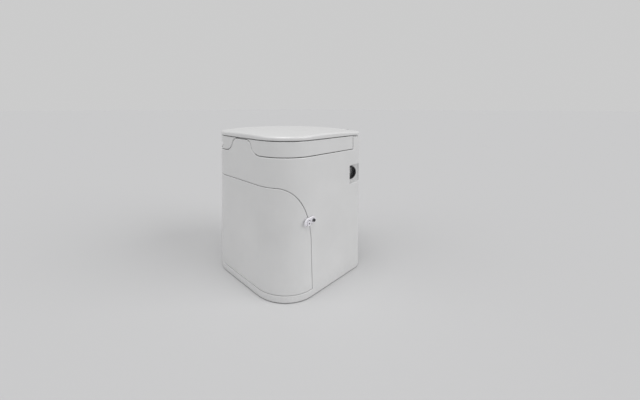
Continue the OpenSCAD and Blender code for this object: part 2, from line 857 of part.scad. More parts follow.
module diverter_screws() {
    color(steel) for (p = diverter_screws_at) translate([p[0], p[1], seat_under - 0.3 - flange_t]) {
        translate([0, 0, -2.05]) cylinder(h = 2, r = 3.4);
        translate([0, 0, -0.5]) cylinder(h = 6.2, r = 1.6);
    }
}

// ---- lid ----

// Plan block of the lid, drawn in by inset
module lid_block(z0, z1, inset = 0) {
    shrink = slope * lid_z - lid_over;
    drafted(base_w - 2 * shrink, base_d - 2 * shrink, front_r - shrink, rear_r - shrink, 0, z0, z1, inset);
}

// Dome that gives the lid its crown
module crown(n = 12) {
    arc = [for (i = [0 : n]) let (a = crown_turn * (1 - i / n))
        [crown_r * sin(a), total_h - crown_r * (1 - cos(a))]];
    rotate_extrude($fn = fine)
        polygon(concat([[0, lid_z - 5], [crown_r * sin(crown_turn), lid_z - 5]], arc));
}

// Crowned outer lid
module lid_panel() {
    color(paint) difference() {
        union() {
            intersection() {
                lid_block(lid_z, total_h + 5);
                crown();
            }
            for (side = [-1, 1]) knuckle(side, -knuckle_gap - knuckle_w, 12, lid_z);
        }
        difference() {
            lid_block(lid_z - 1, lid_z + 6, 9);
            translate([-reach / 2, liner_back, 0]) cube([reach, reach, reach * 2]);
        }
        for (side = [-1, 1]) {
            for (u = [[-hinge_half - 1.2, -knuckle_gap - knuckle_w - 0.1],
                [-knuckle_gap + 0.1, hinge_half + 2.2]])
                across(side, u[0], u[1]) translate([hinge_y - 8.7, lid_z - 1]) square([30, 40]);
            hinge_bore(side);
        }
        for (p = liner_screws_at) translate([p[0], p[1], lid_z]) cylinder(h = 9, r = 1.7);
    }
}

// Flat inner cover of the lid
module lid_liner() {
    color(paint_inner) difference() {
        lid_block(lid_z + 0.2, lid_z + 5.9, 9.4);
        difference() {
            lid_block(lid_z + 3.2, lid_z + 7, 24);
            translate([-reach / 2, liner_back - 15, 0]) cube([reach, reach, reach * 2]);
        }
        translate([-reach / 2, liner_back - 0.4, 0]) cube([reach, reach, reach * 2]);
        for (p = liner_screws_at) translate([p[0], p[1], lid_z - 1]) cylinder(h = 9, r = 2.2);
        for (p = liner_screws_at) translate([p[0], p[1], lid_z - 1]) cylinder(h = 3, r = 4);
    }
}

module liner_screws() {
    color(steel) for (p = liner_screws_at) translate([p[0], p[1], lid_z]) {
        translate([0, 0, 0.3]) cylinder(h = 1.7, r = 3.6);
        translate([0, 0, 1.5]) cylinder(h = 7, r = 1.6);
    }
}

module lid_buffers() {
    color(rubber) for (x = [-130, 130], y = [-95, 100])
        translate([x, y, deck_z + 0.05]) cylinder(h = lid_z + 0.15 - deck_z - 0.05, r = 7);
}

// ---- containers ----

module bin_block(z0, z1, inset) {
    w = bin_w + 2 * bin_slope * bin_foot;
    d = bin_d + 2 * bin_slope * bin_foot;
    translate([0, bin_y, 0]) drafted(w, d, bin_r, bin_r, bin_slope, z0, z1, inset);
}

// Tapered bucket with a rolled rim and an ear on each side for the handle
module solids_bin() {
    color(bin_grey) difference() {
        union() {
            bin_block(bin_foot, bin_top, 0);
            bin_block(bin_top - 4, bin_top, -4);
            for (side = [-1, 1]) along_x(side > 0 ? 97 : -107.5, bail_y, ear_z, 10.5, 7);
        }
        bin_block(bin_foot + bin_wall, bin_top + 1, bin_wall);
        along_x(-120, bail_y, ear_z, 240, bail_r + 0.1);
    }
}

// Wire bail that lies forward round the bin
module bin_handle() {
    color(steel) {
        for (side = [-1, 1]) {
            along_x(side > 0 ? 101 : -bail_x, bail_y, ear_z, bail_x - 101, bail_r);
            translate([side * bail_x, bail_y, ear_z]) sphere(bail_r);
            along_y(side * bail_x, bail_y - bail_len + 12, ear_z, bail_len - 12, bail_r);
            translate([side * (bail_x - 12), bail_y - bail_len + 12, ear_z])
                rotate([0, 0, side > 0 ? -90 : 180])
                    rotate_extrude(angle = 90) translate([12, 0]) circle(bail_r);
        }
        along_x(-bail_x + 12, bail_y - bail_len, ear_z, 2 * bail_x - 24, bail_r);
    }
}

// Plastic grip on the middle of the bail
module handle_grip() {
    color(dark) difference() {
        along_x(-42, bail_y - bail_len, ear_z, 84, 5);
        along_x(-50, bail_y - bail_len, ear_z, 100, bail_r + 0.05);
    }
}

module bottle_block(z0, z1, inset) {
    translate([0, bottle_y, 0]) drafted(bottle_w, bottle_d, bottle_r, bottle_r, 0, z0, z1, inset);
}

// Blow-moulded jug with a neck and a strap handle
module urine_bottle() {
    color(bottle_tint) difference() {
        union() {
            bottle_block(bin_foot, bottle_top, 0);
            translate([0, neck_y, bottle_top - 1]) cylinder(h = neck_z - bottle_top + 1, r = neck_r);
            translate([36, bottle_y - 9, bottle_top - 1]) cube([70, 18, 31]);
        }
        bottle_block(bin_foot + bottle_wall, bottle_top - bottle_wall, bottle_wall);
        translate([0, neck_y, bottle_top - 10]) cylinder(h = 60, r = neck_r - bottle_wall);
        translate([44, bottle_y - 20, bottle_top]) cube([54, 40, 23]);
    }
}

// Drip funnel pushed on the neck
module bottle_funnel() {
    color(dark) translate([0, neck_y, 0]) difference() {
        union() {
            translate([0, 0, neck_z - 12]) cylinder(h = 14, r = neck_r + 2.6);
            translate([0, 0, neck_z + 1]) cylinder(h = 13, r1 = 18, r2 = 28);
        }
        translate([0, 0, neck_z - 13]) cylinder(h = 13.1, r = neck_r + 0.1);
        translate([0, 0, neck_z + 1.9]) cylinder(h = 13, r1 = 15, r2 = 26.5);
        translate([0, 0, neck_z - 5]) cylinder(h = 20, r = 11);
    }
}

housing_shell();
rim_frame();
door_frame();
foot_frame();
vent_box();
floor_pan();
pan_screws();
rubber_feet();
hinge_brackets();
bracket_screws();
hinge_pins();
door_hinge_pins();
latch_pivot_screw();
latch_standoff();
vent_collar();
insect_screen();
fan_frame();
fan_screws();
fan_impeller();
power_inlet();
inlet_nut();
seat_buffers();
front_door();
latch_keeper();
keeper_screw();
latch_hook();
seat_shell();
urine_diverter();
diverter_screws();
lid_panel();
lid_liner();
liner_screws();
lid_buffers();
solids_bin();
bin_handle();
handle_grip();
urine_bottle();
bottle_funnel();
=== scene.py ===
import json
import math

import bmesh
import bpy
from mathutils import Matrix, Vector


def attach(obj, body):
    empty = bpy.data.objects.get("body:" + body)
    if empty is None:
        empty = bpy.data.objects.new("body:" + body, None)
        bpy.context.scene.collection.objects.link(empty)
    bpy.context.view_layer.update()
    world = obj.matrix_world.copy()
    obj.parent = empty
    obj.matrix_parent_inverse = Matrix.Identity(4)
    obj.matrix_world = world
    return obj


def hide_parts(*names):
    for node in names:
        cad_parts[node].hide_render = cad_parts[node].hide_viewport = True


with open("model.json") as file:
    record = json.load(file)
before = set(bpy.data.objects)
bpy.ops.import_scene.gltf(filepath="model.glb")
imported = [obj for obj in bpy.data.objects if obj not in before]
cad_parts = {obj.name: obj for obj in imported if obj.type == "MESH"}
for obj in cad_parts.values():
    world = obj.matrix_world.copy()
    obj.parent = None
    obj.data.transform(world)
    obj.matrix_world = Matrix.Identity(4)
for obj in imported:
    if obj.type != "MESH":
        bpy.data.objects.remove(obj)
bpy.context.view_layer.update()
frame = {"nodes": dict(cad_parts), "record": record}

mm = 0.001

# ---- View, floor and light ----
# The toilet stands on a plain pale floor and is seen close by with a short lens, from its front right
# corner and a little above its lid. Three broad soft lights fall from the right, the front and above.
camera_data = bpy.data.cameras.new("camera")
camera_data.lens = 15.92
camera_data.shift_x = 0.0523
camera_data.shift_y = -0.0822
camera = bpy.data.objects.new("camera", camera_data)
camera_tilt = math.radians(82)
camera_turn = math.radians(47.27)
camera.location = (0.6588, -0.6086, 0.5122)
camera.rotation_euler = (camera_tilt, 0, camera_turn)
bpy.context.scene.collection.objects.link(camera)
bpy.context.scene.camera = camera
bpy.context.scene.view_settings.view_transform = "Standard"

floor_half = 60
floor_grey = (0.555, 0.555, 0.56, 1)
floor_rough = 0.9
backdrop_level = 0.60
air_level = 0.38


def soft_light(name, towards, spread, power):
    """Sun lamp that stands in that direction, as wide as spread in degrees."""
    lamp = bpy.data.lights.new(name, "SUN")
    lamp.angle = math.radians(spread)
    lamp.energy = power
    holder = bpy.data.objects.new(name, lamp)
    holder.rotation_euler = Vector(towards).to_track_quat("Z", "Y").to_euler()
    bpy.context.scene.collection.objects.link(holder)


soft_light("light_right", (0.75, 0.40, 0.53), 45, 1.16)
soft_light("light_front", (-0.30, -0.75, 0.59), 45, 0.46)
soft_light("light_above", (0.10, -0.22, 0.97), 40, 1.30)

world = bpy.data.worlds.new("pale_room")
bpy.context.scene.world = world
world.use_nodes = True
air = world.node_tree.nodes["Background"]
air.inputs["Color"].default_value = (1, 1, 1, 1)
ray = world.node_tree.nodes.new("ShaderNodeLightPath")
level = world.node_tree.nodes.new("ShaderNodeMapRange")
level.inputs["To Min"].default_value = air_level
level.inputs["To Max"].default_value = backdrop_level
seen = ray.outputs["Is Camera Ray"]
for kind in ("Is Glossy Ray", "Is Transmission Ray"):
    either = world.node_tree.nodes.new("ShaderNodeMath")
    either.operation = "MAXIMUM"
    world.node_tree.links.new(seen, either.inputs[0])
    world.node_tree.links.new(ray.outputs[kind], either.inputs[1])
    seen = either.outputs[0]
world.node_tree.links.new(seen, level.inputs["Value"])
world.node_tree.links.new(level.outputs[0], air.inputs["Strength"])

floor_mesh = bpy.data.meshes.new("floor")
floor_form = bmesh.new()
bmesh.ops.create_grid(floor_form, x_segments=1, y_segments=1, size=floor_half)
floor_form.to_mesh(floor_mesh)
floor_form.free()
floor = bpy.data.objects.new("floor", floor_mesh)
bpy.context.scene.collection.objects.link(floor)
floor_paint = bpy.data.materials.new("floor_paint")
floor_paint.use_nodes = True
floor_skin = floor_paint.node_tree.nodes["Principled BSDF"]
floor_skin.inputs["Base Color"].default_value = floor_grey
floor_skin.inputs["Roughness"].default_value = floor_rough
floor_skin.inputs["Specular IOR Level"].default_value = 0
floor_mesh.materials.append(floor_paint)

# ---- Finishes ----
# Satin moulded plastics with a fine spark-eroded grain, stainless fasteners and rubber. The near-black
# fasteners' dark colour is painted shade for the holes they sit in. Each is slightly uneven in colour and
# gloss, and the cabinet's is dusty towards the floor.
noise_low = 0.3
noise_high = 0.7
cloud_scale = 9
gloss_scale = 30
glossier = 0.04
duller = 0.05
dust_scale = 150
dust_top = 50 * mm
dust_tone = 0.6
coat_rough = 0.15
grain_height = 0.1 * mm


def noise(tree, where, scale, detail):
    pattern = tree.nodes.new("ShaderNodeTexNoise")
    pattern.inputs["Scale"].default_value = scale
    pattern.inputs["Detail"].default_value = detail
    tree.links.new(where.outputs["Object"], pattern.inputs["Vector"])
    return pattern.outputs["Fac"]


def spread_over(tree, factor, low, high):
    """Turns a noise pattern into values from low to high."""
    span = tree.nodes.new("ShaderNodeMapRange")
    span.inputs["From Min"].default_value = noise_low
    span.inputs["From Max"].default_value = noise_high
    span.inputs["To Min"].default_value = low
    span.inputs["To Max"].default_value = high
    tree.links.new(factor, span.inputs["Value"])
    return span.outputs[0]


def mixed(tree, factor, one, other):
    blend = tree.nodes.new("ShaderNodeMix")
    blend.data_type = "RGBA"
    tree.links.new(factor, blend.inputs["Factor"])
    for socket, colour in (("A", one), ("B", other)):
        if isinstance(colour, bpy.types.NodeSocket):
            tree.links.new(colour, blend.inputs[socket])
        else:
            blend.inputs[socket].default_value = (*colour, 1)
    return blend.outputs["Result"]


def shade(colour, amount):
    return tuple(min(c * amount, 1) for c in colour)


def finish(name, colour, rough, metallic=0, grain=1500, depth=0.12, uneven=0.03, dust=0, coat=0):
    """Material with a cloudy tint, an uneven gloss and a fine grain, and dust near the floor if asked."""
    made = bpy.data.materials.new(name)
    made.use_nodes = True
    tree = made.node_tree
    skin = tree.nodes["Principled BSDF"]
    where = tree.nodes.new("ShaderNodeTexCoord")
    cloud = spread_over(tree, noise(tree, where, cloud_scale, 3), 0, 1)
    tint = mixed(tree, cloud, shade(colour, 1 - uneven), shade(colour, 1 + uneven))
    if dust:
        apart = tree.nodes.new("ShaderNodeSeparateXYZ")
        tree.links.new(where.outputs["Object"], apart.inputs[0])
        low = tree.nodes.new("ShaderNodeMapRange")
        low.inputs["From Min"].default_value = dust_top
        low.inputs["From Max"].default_value = 0
        low.inputs["To Max"].default_value = dust
        tree.links.new(apart.outputs["Z"], low.inputs["Value"])
        patchy = tree.nodes.new("ShaderNodeMath")
        patchy.operation = "MULTIPLY"
        tree.links.new(low.outputs[0], patchy.inputs[0])
        specks = spread_over(tree, noise(tree, where, dust_scale, 6), 0, 1)
        tree.links.new(specks, patchy.inputs[1])
        tint = mixed(tree, patchy.outputs[0], tint, shade(colour, dust_tone))
    tree.links.new(tint, skin.inputs["Base Color"])
    gloss = spread_over(tree, noise(tree, where, gloss_scale, 4), rough - glossier, rough + duller)
    tree.links.new(gloss, skin.inputs["Roughness"])
    skin.inputs["Metallic"].default_value = metallic
    skin.inputs["Coat Weight"].default_value = coat
    skin.inputs["Coat Roughness"].default_value = coat_rough
    bump = tree.nodes.new("ShaderNodeBump")
    bump.inputs["Strength"].default_value = depth
    bump.inputs["Distance"].default_value = grain_height
    tree.links.new(noise(tree, where, grain, 2), bump.inputs["Height"])
    tree.links.new(bump.outputs["Normal"], skin.inputs["Normal"])
    return made


finishes = {
    "cabinet_plastic": finish("cabinet_plastic", (0.69, 0.69, 0.69), 0.32, dust=0.22, coat=0.6),
    "inner_plastic": finish("inner_plastic", (0.64, 0.64, 0.645), 0.52),
    "latch_plastic": finish("latch_plastic", (0.80, 0.785, 0.83), 0.26, grain=900, depth=0.06, coat=0.5),
    "dark_plastic": finish("dark_plastic", (0.035, 0.035, 0.04), 0.50),
    "bin_plastic": finish("bin_plastic", (0.10, 0.11, 0.12), 0.46),
    "bottle_plastic": finish("bottle_plastic", (0.74, 0.72, 0.62), 0.36, grain=400),
    "fastener_steel": finish("fastener_steel", (0.60, 0.60, 0.61), 0.34, metallic=1, grain=2500,
                             uneven=0.08),
    # The near-black colour of these screws is painted shade: it stands for the shade in the holes round
    # their heads.
    "screw_black": finish("screw_black", (0.06, 0.06, 0.065), 0.45, grain=2500, uneven=0.1),
    "foot_rubber": finish("foot_rubber", (0.045, 0.045, 0.045), 0.78, grain=700, depth=0.3),
}

# ---- Cabinet shell ----
# One thick moulding of satin off-white plastic. Its walls lean in as they rise, its rim is cut down
# between the two rear posts and the front tab, and every cut edge has a moulded radius.
base_w = 370 * mm
base_d = 366 * mm
front_r = 104 * mm
rear_r = 52 * mm
lean = math.tan(math.radians(1.5))
wall = 4 * mm
foot_z = 2.5 * mm
rim_z = 388 * mm
post_z = 425.5 * mm
post_y = 112 * mm
seam = 1.6 * mm
edge_radius = 1.5 * mm
rim_radius = 2.4 * mm
corner_radius = 2.4 * mm
inner_chamfer = 0.4 * mm
flange_chamfer = 0.8 * mm
rim_zone = 10 * mm

# Points nearer than touching are merged, and turns between two faces are in radians.
touching = 1e-6
on_line = 1e-7
square_turn = 1
corner_turn = 0.6
round_segments = 4

front_flat = base_w / 2 - front_r
corner_y = -base_d / 2 + front_r
rear_x = base_w / 2 - rear_r
rear_y = base_d / 2 - rear_r
front_arc = front_r * math.pi / 2
rear_arc = rear_r * math.pi / 2
side_start = front_flat + front_arc
rear_start = side_start + rear_y - corner_y
back_start = rear_start + rear_arc
half_round = back_start + rear_x
front_strips = 40
rear_strips = 24

door_bottom = 22 * mm
door_top = 310 * mm
sweep_start = 138 * mm
sweep_run = 103 * mm
sweep_drop = 176 * mm

tab_half = 24 * mm
tab_r_top = 22 * mm
tab_r_foot = 35 * mm
tab_slope = math.radians(70)

pocket_x = 147 * mm
pocket_y = 96 * mm
pocket_z0 = 283 * mm
pocket_z1 = 340 * mm
pocket_turn = math.radians(20)

inlet_x = 70 * mm
inlet_z = 300 * mm
inlet_hole = 5.7 * mm


def strip_point(run, arc, strips):
    """Sine and cosine of the point on a corner's strips."""
    t = run / arc * strips
    k = min(int(t), strips - 1)
    a0, a1 = (math.pi / 2 * n / strips for n in (k, k + 1))
    f = t - k
    return (math.sin(a0) * (1 - f) + math.sin(a1) * f, math.cos(a0) * (1 - f) + math.cos(a1) * f)


def on_body(u, depth, z):
    """Place that lies u round the body from the middle of its front, depth inside its skin."""
    run = abs(u)
    inside = depth + lean * z
    if run <= front_flat:
        x, y = run, -base_d / 2 + inside
    elif run <= side_start:
        s, c = strip_point(run - front_flat, front_arc, front_strips)
        x, y = front_flat + (front_r - inside) * s, corner_y - (front_r - inside) * c
    elif run <= rear_start:
        x, y = base_w / 2 - inside, corner_y + run - side_start
    elif run <= back_start:
        s, c = strip_point(run - rear_start, rear_arc, rear_strips)
        x, y = rear_x + (rear_r - inside) * c, rear_y + (rear_r - inside) * s
    else:
        x, y = half_round - run, base_d / 2 - inside
    return Vector((math.copysign(x, u), y, z))


strip_lines = [front_flat + front_arc * k / front_strips for k in range(front_strips + 1)]
strip_lines += [rear_start + rear_arc * k / rear_strips for k in range(rear_strips + 1)]


def round_edges(form, edges, radius, segments):
    bmesh.ops.bevel(form, geom=edges, offset=radius, offset_type="OFFSET", segments=segments, profile=0.5,
                    affect="EDGES", clamp_overlap=False, material=-1)


def rim_edges(form, axis, level):
    """Edges at that level along an axis where two faces meet squarely."""
    return [e for e in form.edges if all(abs(v.co[axis] - level) < on_line for v in e.verts)
            and e.is_manifold and e.calc_face_angle() > square_turn]


def flat_sheet(outlines, level, thick, axis):
    """Slab of the outlines, level to level + thick along an axis. Outlines that meet share that edge."""
    form = bmesh.new()
    for outline in outlines:
        points = [[a, b] for a, b in outline]
        for p in points:
            p.insert(axis, level)
        form.faces.new([form.verts.new(p) for p in points])
    bmesh.ops.remove_doubles(form, verts=form.verts, dist=touching)
    grown = bmesh.ops.extrude_face_region(form, geom=form.faces[:], use_keep_orig=True)
    step = Vector((0, 0, 0))
    step[axis] = thick
    far_side = [g for g in grown["geom"] if isinstance(g, bmesh.types.BMVert)]
    bmesh.ops.translate(form, vec=step, verts=far_side)
    bmesh.ops.recalc_face_normals(form, faces=form.faces)
    return form


def moulding(outlines, outer, inner, corner=0, rim=0, back=0, top_rim=0):
    """Wall of the body's form, drawn flat as distance round and height, between two depths.

    The radii are for the corners of the outlines, the outer rim, the inner rim and the rim at the top.
    """
    form = flat_sheet(outlines, outer, inner - outer, 1)
    ends = [f for f in form.faces if all(abs(abs(v.co.x) - half_round) < touching for v in f.verts)]
    bmesh.ops.delete(form, geom=ends, context="FACES_ONLY")
    if corner:
        through = (inner - outer) * 0.9
        posts = [e for e in form.edges if e.is_manifold and e.calc_face_angle() > corner_turn
                 and abs(e.verts[0].co.y - e.verts[1].co.y) > through]
        round_edges(form, posts, corner, round_segments)
    if top_rim:
        high = [e for e in rim_edges(form, 1, outer) if min(v.co.z for v in e.verts) > rim_z - rim_zone]
        round_edges(form, high, top_rim, round_segments)
    if rim:
        round_edges(form, rim_edges(form, 1, outer), rim, round_segments)
    if back:
        round_edges(form, rim_edges(form, 1, inner), back, 1)
    for line in strip_lines:
        for u in (-line, line):
            bmesh.ops.bisect_plane(form, geom=form.verts[:] + form.edges[:] + form.faces[:], dist=on_line,
                                   plane_co=(u, 0, 0), plane_no=(1, 0, 0))
    for v in form.verts:
        v.co = on_body(*v.co)
    bmesh.ops.remove_doubles(form, verts=form.verts, dist=touching)
    return form


def round_at(run, z):
    """Distance round the body at the floor that matches a true distance round it at height z."""
    r = front_r - lean * z
    turn = (run - front_flat) / r
    if turn < math.pi / 2:
        return front_flat + front_r * turn
    return side_start + run - front_flat - r * math.pi / 2


def door_edge(grow, steps=28):
    """Right edge of the door from its level top to its bottom corner."""
    edge = []
    for i in range(steps + 1):
        t = math.pi / 2 * i / steps
        z = door_top + grow - (sweep_drop + grow) * (1 - math.cos(t))
        edge.append((round_at(sweep_start + (sweep_run + grow) * math.sin(t), z), z))
    low = door_bottom - grow
    edge.append((edge[-1][0] + lean * (edge[-1][1] - low), low))
    return edge


def tab_flank(grow, steps=10):
    """Right flank of the tab, from its level top down."""
    foot = tab_r_top + tab_r_foot
    middle_z = post_z - tab_r_top
    over = [(tab_half + (tab_r_top + grow) * math.sin(a), middle_z + (tab_r_top + grow) * math.cos(a))
            for a in (tab_slope * i / steps for i in range(steps + 1))]
    under = [(tab_half + foot * math.sin(tab_slope) - (tab_r_foot - grow) * math.sin(a),
              middle_z + foot * math.cos(tab_slope) - (tab_r_foot - grow) * math.cos(a))
             for a in (tab_slope * (1 - i / steps) for i in range(1, steps + 1))]
    return over + under


def mirrored(points):
    return [(-u, z) for u, z in reversed(points)]


def pocket_end(z):
    """Distance round at which the vent pocket's slanted wall meets the rear corner."""
    reach = (rear_y - pocket_y) * math.sin(pocket_turn) - (rear_x - pocket_x) * math.cos(pocket_turn)
    return rear_start + rear_r * (math.acos(reach / (rear_r - lean * z)) - pocket_turn)


wall_top = rim_z - seam / 2
flank_run_out = 1 * mm
inlet_steps = 16
post_u = side_start + post_y + seam / 2 - corner_y
pocket_u = side_start + pocket_y - corner_y
inlet_u = half_round - inlet_x
split_u = (pocket_u + post_u) / 2
opening = door_edge(seam / 2)
flank = tab_flank(0)
tab_down = flank[:-1] + [(flank[-1][0] + flank_run_out, wall_top)]
inlet_arc = [(inlet_hole * math.sin(a), inlet_z - inlet_hole * math.cos(a))
             for a in (math.pi * k / inlet_steps for k in range(inlet_steps + 1))]
front_right = ([(0, foot_z), (split_u, foot_z), (split_u, pocket_z0), (pocket_u, pocket_z0),
                (pocket_u, pocket_z1), (split_u, pocket_z1), (split_u, wall_top)]
               + list(reversed(tab_down)) + [(0, post_z), (0, opening[0][1])]
               + opening + [(0, opening[-1][1])])
side_right = ([(split_u, foot_z), (inlet_u, foot_z)] + [(inlet_u - u, z) for u, z in inlet_arc]
              + [(inlet_u, post_z), (post_u, post_z), (post_u, wall_top), (split_u, wall_top),
                 (split_u, pocket_z1), (pocket_end(pocket_z1), pocket_z1),
                 (pocket_end(pocket_z0), pocket_z0), (split_u, pocket_z0)])
back_right = ([(inlet_u, foot_z), (half_round, foot_z), (half_round, post_z), (inlet_u, post_z)]
              + [(inlet_u + u, z) for u, z in reversed(inlet_arc)])
left = ([(-half_round, foot_z), (0, foot_z), (0, opening[-1][1])] + mirrored(opening)
        + [(0, opening[0][1]), (0, post_z)] + [(-u, z) for u, z in tab_down]
        + [(-post_u, wall_top), (-post_u, post_z), (-half_round, post_z)])

barrel_x = -base_w / 2 + 0.01 * mm
barrel_y = corner_y + 3.1 * mm
barrel_r = 3.5 * mm
barrel_gap = 0.5 * mm
knuckle_len = 13 * mm
barrel_len = 9 * mm
lug_run = 10 * mm
lug_sink = 1 * mm
lug_out = barrel_r * 0.6
lug_bend = lug_run * 0.7
lug_start = barrel_r * 0.5
barrel_chamfer = 0.35 * mm
barrel_steps = 20
door_hinges = (46 * mm, 108 * mm)


def hinge_barrel(low, length, way):
    """Upright barrel on the left wall with its lug, which runs towards the rear where way is 1."""
    skin_x = barrel_x + lean * low + lug_sink
    arc = [(barrel_x - barrel_r * math.sin(a), barrel_y - way * barrel_r * math.cos(a))
           for a in (math.pi * k / barrel_steps for k in range(barrel_steps + 1))]
    arc += [(barrel_x - lug_out, barrel_y + way * lug_bend), (skin_x, barrel_y + way * lug_run),
            (skin_x, barrel_y - way * lug_start)]
    form = flat_sheet([arc], low, length, 2)
    for end in (low, low + length):
        round_edges(form, rim_edges(form, 2, end), barrel_chamfer, 2)
    return form


def placed(form, name):
    """Object of a form, which is used up."""
    mesh = bpy.data.meshes.new(name)
    form.to_mesh(mesh)
    form.free()
    made = bpy.data.objects.new(name, mesh)
    bpy.context.scene.collection.objects.link(made)
    return made


def combined(form, tool, operation):
    """The form after an exact Boolean with the tool. Both are used up."""
    base = placed(form, "base")
    other = placed(tool, "tool")
    step = base.modifiers.new("step", "BOOLEAN")
    step.operation = operation
    step.solver = "EXACT"
    step.object = other
    bpy.context.view_layer.update()
    done = bmesh.new()
    done.from_object(base, bpy.context.evaluated_depsgraph_get())
    for used in (base, other):
        mesh = used.data
        bpy.data.objects.remove(used)
        bpy.data.meshes.remove(mesh)
    return done


sharp_from = math.radians(35)
flat_within = math.radians(0.5)


def piece(name, forms, *nodes):
    """Joins forms into one named piece, which rides and is finished as the CAD nodes it stands for."""
    whole = bmesh.new()
    for form in forms:
        part = bpy.data.meshes.new("part")
        form.to_mesh(part)
        form.free()
        whole.from_mesh(part)
        bpy.data.meshes.remove(part)
    made = placed(whole, name)
    record = frame["record"]
    slot = next(s["material_slot"] for s in record["subparts"] if s["node"] == nodes[0])
    body = next(b for b, held in record["behaviour"]["bodies"].items() if nodes[0] in held)
    made.data.materials.clear()
    made.data.materials.append(finishes[slot])
    made.data.shade_smooth()
    made.data.set_sharp_from_angle(angle=sharp_from)
    normals = made.modifiers.new("even_shading", "WEIGHTED_NORMAL")
    normals.keep_sharp = True
    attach(made, body)
    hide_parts(*nodes)
    return made


def eased(node, width, segments=2):
    """Copy of a CAD node's solids with their sharp edges rounded."""
    form = bmesh.new()
    form.from_mesh(frame["nodes"][node].data)
    bmesh.ops.remove_doubles(form, verts=form.verts, dist=touching)
    bmesh.ops.dissolve_limit(form, angle_limit=flat_within, verts=form.verts, edges=form.edges)
    creases = [e for e in form.edges if e.is_manifold and e.calc_face_angle() > sharp_from]
    bmesh.ops.bevel(form, geom=creases, offset=width, offset_type="OFFSET", segments=segments, profile=0.5,
                    affect="EDGES", clamp_overlap=True, material=-1)
    return form


cabinet_forms = [moulding([left, front_right, side_right, back_right], 0, wall, corner_radius, edge_radius,
                          inner_chamfer, rim_radius)]
for z in door_hinges:
    far = knuckle_len / 2 + barrel_gap
    for low in (z - far - barrel_len, z + far):
        cabinet_forms.append(hinge_barrel(low, barrel_len, 1))
piece("cabinet_wall", cabinet_forms, "housing_shell")

# ---- Frames inside the cabinet ----
# Flanges of the same plastic, bonded inside the wall: one under the seat unit, one behind the edge of
# the door opening and one at the foot, which the floor pan is screwed to.
flange_in = 18 * mm
flange_h = 5 * mm
flange_short = 2 * mm
lip_in = 8 * mm
lip_out = 12 * mm
lip_t = 3.4 * mm
lip_corner = 3 * mm

rim_flange_u = side_start + post_y - flange_short - corner_y
rim_flange = [(-rim_flange_u, rim_z - flange_h), (rim_flange_u, rim_z - flange_h),
              (rim_flange_u, wall_top), (-rim_flange_u, wall_top)]
piece("seat_flange", [moulding([rim_flange], wall, flange_in, back=flange_chamfer)], "rim_frame")

frame_out = door_edge(lip_out)
frame_in = door_edge(-lip_in)
frame_right = ([(0, frame_out[-1][1])] + list(reversed(frame_out)) + [(0, frame_out[0][1])]
               + [(0, frame_in[0][1])] + frame_in + [(0, frame_in[-1][1])])
surround = moulding([frame_right, mirrored(frame_right)], wall, wall + lip_t, corner=lip_corner,
                    back=flange_chamfer)
piece("door_surround", [surround], "door_frame")
piece("foot_flange", [eased("foot_frame", 0.4 * mm)], "foot_frame")

# ---- Vent pocket and fan ----
# A moulded box behind the notch in the right side holds the flanged vent collar, a fly screen and a
# small axial fan, which is held on from inside by four long screws.
piece("vent_pocket_box", [eased("vent_box", 0.5 * mm)], "vent_box")
piece("vent_flange", [eased("vent_collar", 0.3 * mm)], "vent_collar")
piece("fly_screen", [eased("insect_screen", 0.08 * mm, 1)], "insect_screen")
piece("fan_casing", [eased("fan_frame", 0.4 * mm)], "fan_frame")
piece("fan_casing_screws", [eased("fan_screws", 0.2 * mm)], "fan_screws")
piece("fan_rotor", [eased("fan_impeller", 0.2 * mm)], "fan_impeller")

# ---- Floor pan and feet ----
# A ribbed pan of plain plastic closes the foot of the cabinet. Six screws hold it, and four soft feet
# are pushed through it.
piece("floor_tray", [eased("floor_pan", 0.6 * mm)], "floor_pan")
piece("floor_tray_screws", [eased("pan_screws", 0.3 * mm)], "pan_screws")
piece("soft_feet", [eased("rubber_feet", 0.8 * mm, 3)], "rubber_feet")

# ---- Fan power socket ----
# A round low-voltage socket of dark plastic in the rear wall. A thin hexagonal nut inside the wall
# holds it.
piece("fan_socket", [eased("power_inlet", 0.4 * mm)], "power_inlet")
piece("fan_socket_nut", [eased("inlet_nut", 0.2 * mm)], "inlet_nut")

# ---- Hinge brackets, pins and seat rests ----
# Steel brackets screwed inside the rear wall carry the pins that the seat unit and the lid both turn
# on. The door's two pins stay in the cabinet's barrels, and four rubber rests sit on the seat flange.
piece("lid_hinge_brackets", [eased("hinge_brackets", 0.4 * mm)], "hinge_brackets")
piece("lid_hinge_bracket_screws", [eased("bracket_screws", 0.2 * mm)], "bracket_screws")
piece("lid_hinge_pins", [eased("hinge_pins", 0.3 * mm)], "hinge_pins")
piece("door_pins", [eased("door_hinge_pins", 0.2 * mm)], "door_hinge_pins")
piece("seat_rests", [eased("seat_buffers", 0.5 * mm)], "seat_buffers")

# ---- Front door ----
# A wrap-round panel of the cabinet's plastic with a radius on its edge, three stiffening ribs inside
# and two hinge barrels on its left edge. The latch's round keeper is screwed to it.
door_t = 3.4 * mm
rib_t = 3 * mm
rib_depth = 4 * mm
rib_end = lip_in + 6 * mm
rib_sink = 0.2 * mm
rib_heights = (70 * mm, 150 * mm, 230 * mm)


def edge_at(grow, z):
    """Distance round at which the door's edge passes height z."""
    drop = door_top + grow - z
    if drop >= sweep_drop + grow:
        corner = door_edge(grow)[-1]
        return corner[0] - lean * (z - corner[1])
    t = math.acos(1 - drop / (sweep_drop + grow))
    return round_at(sweep_start + (sweep_run + grow) * math.sin(t), z)


